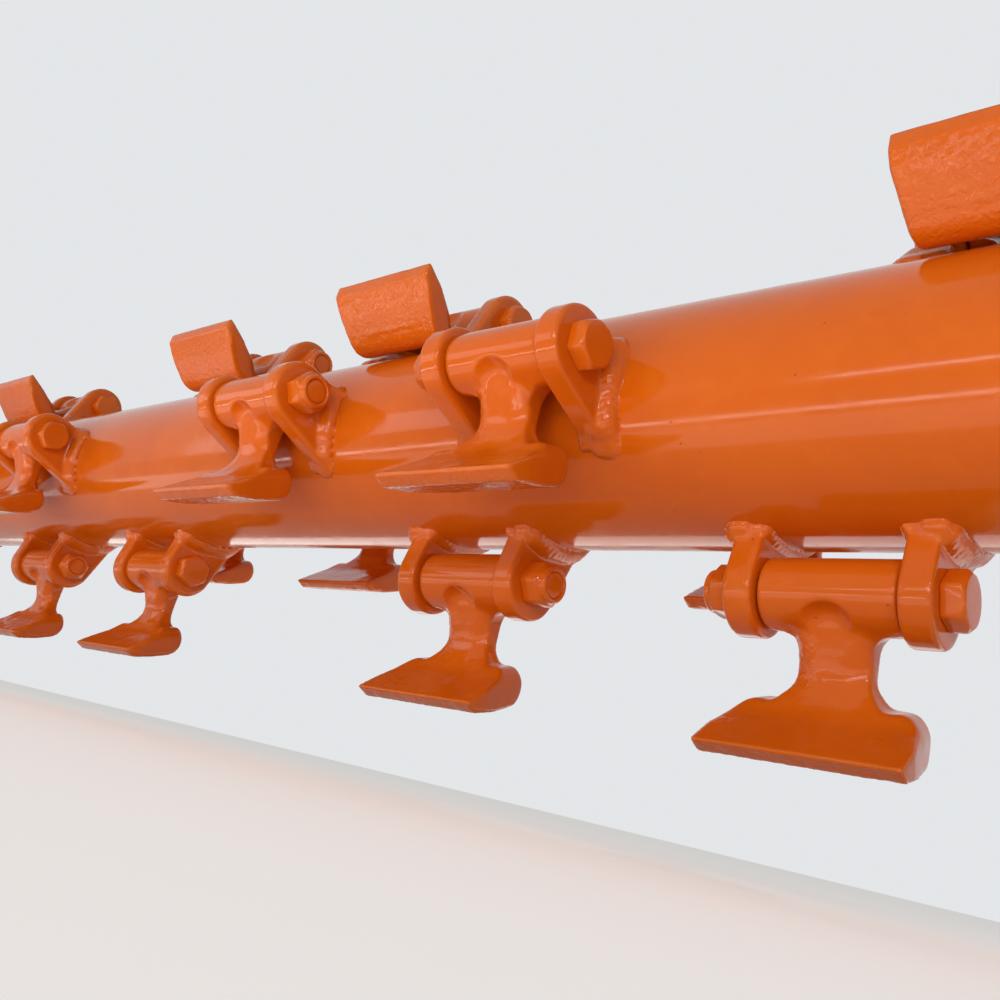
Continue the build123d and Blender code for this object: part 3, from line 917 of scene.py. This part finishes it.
# Steps of the meshes in millimetres, finer near the camera, and the first of the seeds
meshing = {
    "nearHammers": ("hammer_10", "hammer_11", "hammer_12", "hammer_13", "hammer_15", "hammer_16"),
    "nearHammer": 1.45,
    "farHammer": 2.4,
    "hammerSeed": 100,
    "nearRows": "ab",
    "firstNear": 11,  # place along the tube, counted from 0
    "nearLug": 1.5,
    "farLug": 2.5,
    "lugSeed": 500,
    "boltSeed": 900,
    "nutSeed": 950,
}

# Hammers, each with a skin of its own; the seeds leave room for the noises that each of them draws
meshes = {}
for step in (meshing["nearHammer"], meshing["farHammer"]):
    meshes[step] = meshField(*hammerField(step), step)
for number, place in enumerate(places):
    name = place["name"]
    points, quads = meshes[meshing["nearHammer" if name in meshing["nearHammers"] else "farHammer"]]
    shaped, scale = roughenHammer(points, quads, meshing["hammerSeed"] + 10 * number)
    values = {"corner": cornering(shaped, quads), "scale": scale}
    shaped = turnedAbout(shaped, place["turn"], place["pivot"])
    makeMesh(name + "_forging", shaped, quads[:, ::-1], hammerPaint, name, [name], values)
print("hammers made")

# Lugs of each row with their weld beads
for row in "abcd":
    allPoints, allFaces, allCorners, total = [], [], [], 0
    for number, place in enumerate(places):
        if place["row"] != row:
            continue
        near = number >= meshing["firstNear"] and row in meshing["nearRows"]
        step = meshing["nearLug" if near else "farLug"]
        for outer in (-1, 1):
            field, low = lugField(step, outer, meshing["lugSeed"] + 20 * number + outer)
            points, quads = meshField(field, low, step)
            allCorners.append(cornering(points, quads))
            shift = np.array([outer * (rotor["lugInner"] + rotor["lugThickness"] / 2), 0, 0])
            points = turnedAbout(points + shift, place["angle"], (place["pivot"][0], 0, 0))
            allPoints.append(points)
            allFaces.append(quads[:, ::-1] + total)
            total += len(points)
    points, faces = np.concatenate(allPoints), np.concatenate(allFaces)
    values = {"corner": np.concatenate(allCorners)}
    name, stands = f"lugs_{row}_welded", [f"lugs_row_{row}"]
    makeMesh(name, points, faces, lugPaint, "rotor", stands, values)
    print("lugs of row", row, "made:", total, "points")

# Bolts and nuts, each turned a little differently about its own axis
shankTurns = np.linspace(0, 2 * math.pi, boltShape["aroundShank"] + 1)[:-1]
shankEnds = (-2 * rotor["lugOuter"], 0.0)
shank = ringsMesh([ringAt(along, boltShape["shankRadius"], shankTurns) for along in shankEnds])
for name, parts, node, right in (
    ("bolt_heads", (hexHead(), shank), "hammer_bolts", 1),
    ("lock_nuts", (lockNut(),), "hammer_nuts", -1),
):
    allPoints, allFaces, total = [], [], 0
    for number, place in enumerate(places):
        side = right if place["headRight"] else -right
        seed = meshing["boltSeed" if node == "hammer_bolts" else "nutSeed"]
        roll = np.random.default_rng(seed + number).uniform(0, 60)
        for points, faces in parts:
            spun = turnedAbout(points, roll, (rotor["lugOuter"], 0, 0))
            if side < 0:
                spun = spun * np.array([-1, -1, 1])
            allPoints.append(spun + place["pivot"])
            allFaces += [[spot + total for spot in face] for face in faces]
            total += len(points)
    makeMesh(name, np.concatenate(allPoints), allFaces, boltPaint, "rotor", [node])
print("fasteners made")

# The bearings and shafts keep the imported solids, with edges broken and better finishes
finishes = {
    "end_disc": tubePaint,
    "stub_shaft": turnedSteel,
    "shaft_bolts": boltPaint,
    "bearing_housing": housingPaint,
    "bearing_cover": housingPaint,
    "bearing_left": bearingSteel,
    "bearing_right": bearingSteel,
    "grease_nipple": zincSteel,
}
brokenEdge = {"width": 0.0009, "segments": 2, "angle": 35, "merge": 0.00001}
for name, piece in frame["nodes"].items():
    if piece.hide_render:
        continue
    for key, material in finishes.items():
        if name.startswith(key):
            for place in range(len(piece.material_slots)):
                piece.material_slots[place].material = material
            if not piece.material_slots:
                piece.data.materials.append(material)
            merging = piece.modifiers.new("merge", "WELD")
            merging.merge_threshold = brokenEdge["merge"]
            easing = piece.modifiers.new("ease", "BEVEL")
            easing.width = brokenEdge["width"]
            easing.segments = brokenEdge["segments"]
            easing.limit_method = "ANGLE"
            easing.angle_limit = math.radians(brokenEdge["angle"])
            easing.harden_normals = True
            smoothing = piece.modifiers.new("smooth", "WEIGHTED_NORMAL")
            smoothing.keep_sharp = True

print("ends finished")

# Camera, fitted to the photo
cameraPlace = {
    "position": (1.6296, -0.51136, -0.26565),
    "look": (-0.66559, 0.68649, 0.29279),
    "up": (0.02896, -0.36826, 0.92927),
    "lens": 34.2,
}
look = Vector(cameraPlace["look"]).normalized()
up = Vector(cameraPlace["up"]).normalized()
right = look.cross(up).normalized()
up = right.cross(look)
turn = Matrix((right, up, -look)).transposed()
cameraData = bpy.data.cameras.new("photoCamera")
cameraData.lens = cameraPlace["lens"]
cameraData.sensor_width = 36.0
cameraData.clip_start = 0.01
camera = bpy.data.objects.new("photoCamera", cameraData)
scene.collection.objects.link(camera)
camera.matrix_world = Matrix.Translation(cameraPlace["position"]) @ turn.to_4x4()
scene.camera = camera

# Floor just under the camera, which is near the ground
floorLook = {
    "middle": (1, 0, -0.285),
    "reach": 12,
    "base": (0.78, 0.78, 0.79, 1),
    "seen": (0.43, 0.41, 0.38),  # the glow that the picture and the paint's reflections show
}
floorSheet = Sheet(bpy.data.materials.new("paleFloor"))
floorShade = {
    "Base Color": floorLook["base"],
    "Roughness": 1.0,
    "Specular IOR Level": 0.0,
    "Emission Color": floorSheet.mixColour(floorSheet.seen(), (0.0, 0.0, 0.0), floorLook["seen"]),
    "Emission Strength": 1.0,
}
floorMesh = bpy.data.meshes.new("floor")
reach = floorLook["reach"]
floorCorners = [(-reach, -reach, 0), (reach, -reach, 0), (reach, reach, 0), (-reach, reach, 0)]
floorMesh.from_pydata(floorCorners, [], [(0, 1, 2, 3)])
floorMesh.materials.append(floorSheet.finish(floorSheet.node("ShaderNodeBsdfPrincipled", None, floorShade)))
floor = bpy.data.objects.new("floor", floorMesh)
scene.collection.objects.link(floor)
floor.location = floorLook["middle"]

# Pale light all round: what lights the part is weaker than what is seen
skyLook = {
    "lighting": ((0.93, 0.95, 1.0, 1), 0.28),
    "seen": ((0.86, 0.88, 0.9, 1), 0.9),
}
skySheet = Sheet(bpy.data.worlds.new("studio"))
plain, pale = (
    skySheet.node("ShaderNodeBackground", None, {"Color": colour, "Strength": strength})
    for colour, strength in (skyLook["lighting"], skyLook["seen"])
)
sky = skySheet.node("ShaderNodeMixShader", None, {0: skySheet.seen(), 1: plain, 2: pale})
scene.world = skySheet.finish(sky, "ShaderNodeOutputWorld")

# Lamps, their places in metres; the last three stand in for light that the ground throws up
lamps = {
    "key": {
        "place": (2.4, -2.6, 0.3),
        "aim": (1.1, 0, 0),
        "size": (2.8, 0.6),
        "power": 7.0,
        "colour": (1, 0.97, 0.93),
        "spread": 100,
    },
    "strip": {
        "place": (1.7, -1.9, 0.12),
        "aim": (1.3, 0, 0),
        "size": (2.4, 0.06),
        "power": 5,
        "colour": (1, 0.98, 0.95),
    },
    "fill": {
        "place": (-0.5, -1.6, 0.25),
        "aim": (0.8, 0, 0),
        "size": (1.4, 0.6),
        "power": 1.6,
        "colour": (0.95, 0.97, 1),
        "spread": 100,
    },
    "glint": {
        "place": (2.6, -1.2, 0.5),
        "aim": (1.3, 0, 0),
        "size": (0.12, 0.12),
        "power": 3.5,
        "colour": (1, 1, 1),
    },
    "ground": {
        "place": (0.9, -0.44, -0.275),
        "aim": (0.9, -0.44, 1),
        "size": (2.8, 0.28),
        "power": 3.8,
        "colour": (1, 0.94, 0.86),
    },
    "groundLine": {
        "place": (0.8, -0.75, -0.275),
        "aim": (0.8, -0.75, 1),
        "size": (1.9, 0.1),
        "power": 5.5,
        "colour": (1, 0.94, 0.86),
    },
    "under": {
        "place": (1.0, 0.48, -0.27),
        "aim": (1.0, 0.48, 1),
        "size": (3.4, 0.5),
        "power": 9,
        "colour": (1, 0.96, 0.9),
    },
}
for name, lamp in lamps.items():
    data = bpy.data.lights.new(name, "AREA")
    data.shape = "RECTANGLE"
    data.size, data.size_y = lamp["size"]
    data.energy = lamp["power"]
    data.color = lamp["colour"]
    data.spread = math.radians(lamp.get("spread", 180))
    item = bpy.data.objects.new(name, data)
    scene.collection.objects.link(item)
    item.location = lamp["place"]
    item.visible_camera = False
    item.rotation_euler = (Vector(lamp["aim"]) - Vector(lamp["place"])).to_track_quat("-Z", "Y").to_euler()
print("camera, floor and lamps in place")

scene.view_settings.view_transform = "Standard"
